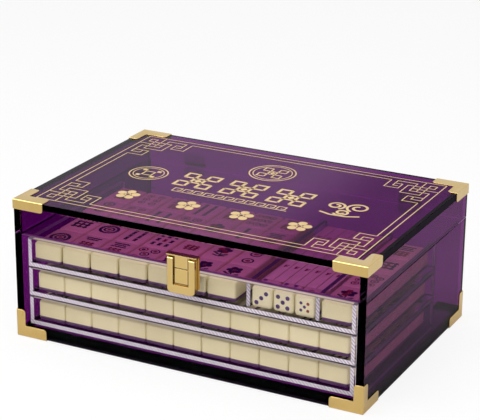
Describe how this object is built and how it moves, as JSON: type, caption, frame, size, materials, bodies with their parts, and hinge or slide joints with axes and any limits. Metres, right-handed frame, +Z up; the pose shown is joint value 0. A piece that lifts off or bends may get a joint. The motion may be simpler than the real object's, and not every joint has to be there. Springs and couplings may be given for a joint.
{
  "type": "mahjong case",
  "caption": "Lidded tinted acrylic case with metal corner guards, a front swing latch and rear hinges, holding stacked clear trays of game tiles, dice and counting sticks.",
  "frame": {"origin": "middle of the footprint at the level of the undersides of the bottom corner guards", "axes": "+X along the length, to the right seen from the latch side; +Y from the latch towards the hinges; +Z up"},
  "size_m": [0.37, 0.2634, 0.1423],
  "materials": {
    "purple_acrylic": "polished tinted acrylic",
    "clear_acrylic": "polished clear acrylic",
    "gold_metal": "polished plated sheet",
    "fastener_metal": "plated",
    "ivory_tile": "satin moulded resin",
    "purple_tile": "satin moulded resin",
    "ivory_dice": "gloss",
    "stick_plastic": "satin"
  },
  "bodies": {
    "base": {"base_left_panel": "purple_acrylic", "base_right_panel": "purple_acrylic", "base_front_panel": "clear_acrylic", "base_back_panel": "purple_acrylic", "bottom_panel": "purple_acrylic", "bottom_corner_front_left": "gold_metal", "bottom_corner_front_right": "gold_metal", "bottom_corner_back_left": "gold_metal", "bottom_corner_back_right": "gold_metal", "hinge_base_leaf_left": "purple_acrylic", "hinge_base_leaf_right": "purple_acrylic", "hinge_pins": "fastener_metal", "hinge_base_screws": "clear_acrylic", "latch_catch_plate": "gold_metal", "latch_catch_screws": "fastener_metal"},
    "lid": {"lid_top_panel": "purple_acrylic", "lid_left_wall": "purple_acrylic", "lid_right_wall": "purple_acrylic", "lid_front_wall": "purple_acrylic", "lid_back_wall": "purple_acrylic", "top_corner_front_left": "gold_metal", "top_corner_front_right": "gold_metal", "top_corner_back_left": "gold_metal", "top_corner_back_right": "gold_metal", "hinge_lid_leaf_left": "purple_acrylic", "hinge_lid_leaf_right": "purple_acrylic", "hinge_lid_screws": "clear_acrylic", "latch_cap_plate": "gold_metal", "latch_cap_screws": "fastener_metal", "latch_pin": "fastener_metal"},
    "latch_frame": {"latch_frame": "gold_metal"},
    "lower_tray": {"lower_tray_floor": "clear_acrylic", "lower_tray_left_wall": "clear_acrylic", "lower_tray_right_wall": "clear_acrylic", "lower_tray_front_wall": "clear_acrylic", "lower_tray_back_wall": "clear_acrylic", "lower_tray_pads": "clear_acrylic", "lower_tile_faces": "ivory_tile", "lower_tile_backs": "purple_tile"},
    "middle_tray": {"middle_tray_floor": "clear_acrylic", "middle_tray_left_wall": "clear_acrylic", "middle_tray_right_wall": "clear_acrylic", "middle_tray_front_wall": "clear_acrylic", "middle_tray_back_wall": "clear_acrylic", "middle_tray_pads": "clear_acrylic", "middle_tile_faces": "ivory_tile", "middle_tile_backs": "purple_tile"},
    "upper_tray": {"upper_tray_floor": "clear_acrylic", "upper_tray_left_wall": "clear_acrylic", "upper_tray_right_wall": "clear_acrylic", "upper_tray_front_wall": "clear_acrylic", "upper_tray_back_wall": "clear_acrylic", "upper_tray_pads": "clear_acrylic", "upper_tile_faces": "ivory_tile", "upper_tile_backs": "purple_tile", "upper_tray_divider_one": "clear_acrylic", "upper_tray_divider_two": "clear_acrylic", "dice": "ivory_dice", "counting_sticks": "stick_plastic"}
  },
  "joints": [
    {"name": "lid_hinge", "type": "hinge", "parent": "base", "child": "lid", "pos_m": [0, 0.12744, 0.1071], "axis": [-1, 0, 0], "range_deg": [0, 100]},
    {"name": "latch_swing", "type": "hinge", "parent": "lid", "child": "latch_frame", "pos_m": [0.0026, -0.12826, 0.1158], "axis": [-1, 0, 0], "range_deg": [0, 100]},
    {"name": "lower_tray_lift", "type": "slide", "parent": "base", "child": "lower_tray", "axis": [0, 0, 1], "range_m": [0, 0.01]},
    {"name": "middle_tray_lift", "type": "slide", "parent": "lower_tray", "child": "middle_tray", "axis": [0, 0, 1], "range_m": [0, 0.01]},
    {"name": "upper_tray_lift", "type": "slide", "parent": "middle_tray", "child": "upper_tray", "axis": [0, 0, 1], "range_m": [0, 0.01]}
  ]
}
